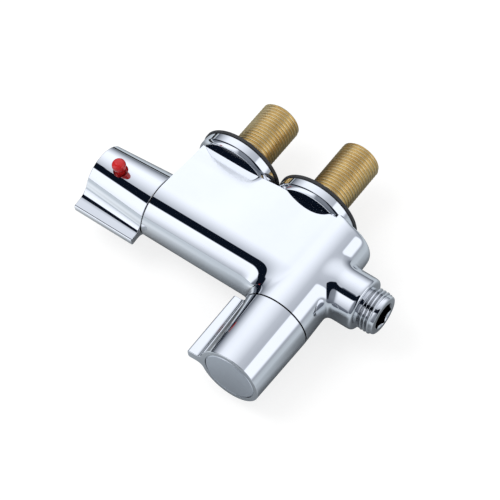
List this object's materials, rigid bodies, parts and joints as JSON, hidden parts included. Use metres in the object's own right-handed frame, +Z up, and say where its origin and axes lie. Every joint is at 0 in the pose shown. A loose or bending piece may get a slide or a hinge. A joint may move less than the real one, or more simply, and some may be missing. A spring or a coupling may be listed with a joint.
{
  "type": "thermostatic shower mixer",
  "caption": "Compact wall-mounted shower mixer with a temperature handle, a flow handle, a red safety stop, threaded supply shanks and a threaded hose outlet.",
  "frame": {"origin": "on the panel or wall plane, midway between the axes of the two supply shanks", "axes": "+Y into the wall along the supply shanks, +X along the bar towards the hose outlet, +Z up"},
  "size_m": [0.1524, 0.1328, 0.0434],
  "materials": {
    "chrome": "polished",
    "satin": "satin",
    "red": "gloss",
    "raw_brass": "machined",
    "copper": "satin",
    "rubber": "matt",
    "steel": "bright",
    "white_plastic": "matt",
    "blue_plastic": "matt",
    "ceramic": "lapped"
  },
  "bodies": {
    "casting": {"mixer_body": "chrome", "retaining_nut": "raw_brass", "cartridge_head": "white_plastic", "cartridge_barrel": "white_plastic", "cartridge_plug": "white_plastic", "cartridge_seal_hot": "rubber", "cartridge_seal_middle": "rubber", "cartridge_seal_cold": "rubber", "temperature_spindle_seal": "rubber", "return_spring": "steel", "stop_ring": "white_plastic", "valve_bonnet": "raw_brass", "bonnet_seal": "rubber", "disc_seal": "rubber", "fixed_disc": "ceramic", "flow_spindle_seal": "rubber", "outlet_nipple": "chrome", "outlet_seal": "rubber", "inlet_shank_hot": "raw_brass", "inlet_flange_hot": "chrome", "inlet_gasket_hot": "rubber", "strainer_hot": "steel", "check_valve_hot": "blue_plastic", "check_spring_hot": "steel", "inlet_shank_cold": "raw_brass", "inlet_flange_cold": "chrome", "inlet_gasket_cold": "rubber", "strainer_cold": "steel", "check_valve_cold": "blue_plastic", "check_spring_cold": "steel"},
    "temperature_dial": {"temperature_handle": "chrome", "temperature_cap": "satin", "temperature_screw": "steel", "temperature_spindle": "raw_brass", "stop_button_spring": "steel"},
    "button": {"stop_button": "red"},
    "regulator": {"drive_cup": "raw_brass", "overload_spring": "steel", "thrust_plunger": "raw_brass", "wax_element": "copper", "shuttle": "white_plastic"},
    "flow_dial": {"flow_handle": "chrome", "flow_cap": "satin", "flow_screw": "steel", "flow_spindle": "raw_brass", "moving_disc": "ceramic"},
    "poppet_hot": {"check_poppet_hot": "blue_plastic"},
    "poppet_cold": {"check_poppet_cold": "blue_plastic"}
  },
  "joints": [
    {"name": "temperature_turn", "type": "hinge", "parent": "casting", "child": "temperature_dial", "pos_m": [0, -0.0414, 0], "axis": [-1, 0, 0], "range_deg": [-171, 9]},
    {"name": "stop_button_press", "type": "slide", "parent": "temperature_dial", "child": "button", "axis": [0, 0.1564, -0.9877], "range_m": [0, 0.0018], "stiffness_N_per_m": 800, "springref_m": -0.001, "deforming": ["stop_button_spring"]},
    {"name": "regulator_slide", "type": "slide", "parent": "casting", "child": "regulator", "axis": [1, 0, 0], "range_m": [-0.0006, 0.00004], "deforming": ["return_spring"]},
    {"name": "flow_turn", "type": "hinge", "parent": "casting", "child": "flow_dial", "pos_m": [0.0408, -0.0414, 0], "axis": [0, -1, 0], "range_deg": [0, 90]},
    {"name": "check_poppet_hot_slide", "type": "slide", "parent": "casting", "child": "poppet_hot", "axis": [0, -1, 0], "range_m": [0, 0.003], "stiffness_N_per_m": 150, "springref_m": -0.003, "deforming": ["check_spring_hot"]},
    {"name": "check_poppet_cold_slide", "type": "slide", "parent": "casting", "child": "poppet_cold", "axis": [0, -1, 0], "range_m": [0, 0.003], "stiffness_N_per_m": 150, "springref_m": -0.003, "deforming": ["check_spring_cold"]}
  ],
  "couplings": [
    {"joint": "regulator_slide", "follows": "temperature_turn", "m_per_rad": 0.00019894}
  ]
}
